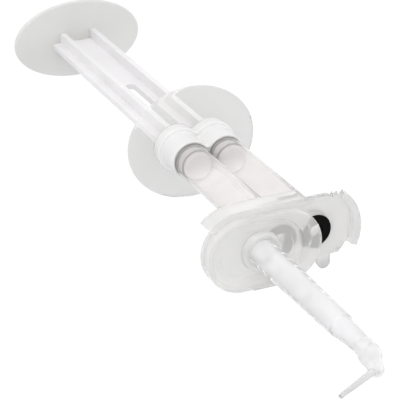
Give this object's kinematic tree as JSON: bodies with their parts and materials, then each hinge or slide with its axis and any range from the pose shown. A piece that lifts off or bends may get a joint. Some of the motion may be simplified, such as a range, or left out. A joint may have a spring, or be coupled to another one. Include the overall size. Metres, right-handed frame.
{
  "type": "dental impression syringe",
  "caption": "Twin-barrel dental impression syringe with forked plunger, finger flange, slide-over mixing head, clear mixer tube and a turning bent tip.",
  "frame": {"origin": "middle of the outer face of the thumb plate, on the mid-plane between the barrels", "axes": "+Z from the thumb plate to the nozzle, +X from the left barrel to the right barrel, +Y to the top of the guide block"},
  "size_m": [0.0377, 0.026, 0.1735],
  "materials": {
    "frosted_plate": "frosted translucent plastic",
    "milky_plastic": "milky translucent moulded plastic",
    "piston_plastic": "smooth satin plastic",
    "ring_rubber": "smooth grey rubber",
    "white_plastic": "glossy white plastic",
    "clear_plastic": "clear moulded plastic",
    "black_rubber": "matte black rubber",
    "tip_plastic": "hazy translucent plastic"
  },
  "bodies": {
    "barrel_unit": {"finger_flange": "frosted_plate", "twin_collar": "white_plastic", "barrel_left": "clear_plastic", "barrel_right": "clear_plastic", "guide_block": "clear_plastic", "port_seal_left": "black_rubber", "port_seal_right": "black_rubber"},
    "plunger_unit": {"thumb_plate": "frosted_plate", "plunger": "milky_plastic", "piston_left": "piston_plastic", "piston_right": "piston_plastic", "rear_ring_left": "ring_rubber", "rear_ring_right": "ring_rubber", "front_ring_left": "ring_rubber", "front_ring_right": "ring_rubber"},
    "head_unit": {"slide_head": "clear_plastic", "socket_ring": "clear_plastic", "mixer_tube": "clear_plastic", "mixing_element": "white_plastic"},
    "tip_unit": {"tip_elbow": "tip_plastic", "cannula": "tip_plastic"}
  },
  "joints": [
    {"name": "plunger_slide", "type": "slide", "parent": "barrel_unit", "child": "plunger_unit", "axis": [0, 0, 1], "range_m": [0, 0.034]},
    {"name": "head_slide", "type": "slide", "parent": "barrel_unit", "child": "head_unit", "axis": [1, 0, 0], "range_m": [0, 0.0094]},
    {"name": "tip_turn", "type": "hinge", "parent": "head_unit", "child": "tip_unit", "pos_m": [-0.0094, 0, 0.167], "axis": [0, 0, 1], "continuous": true}
  ]
}
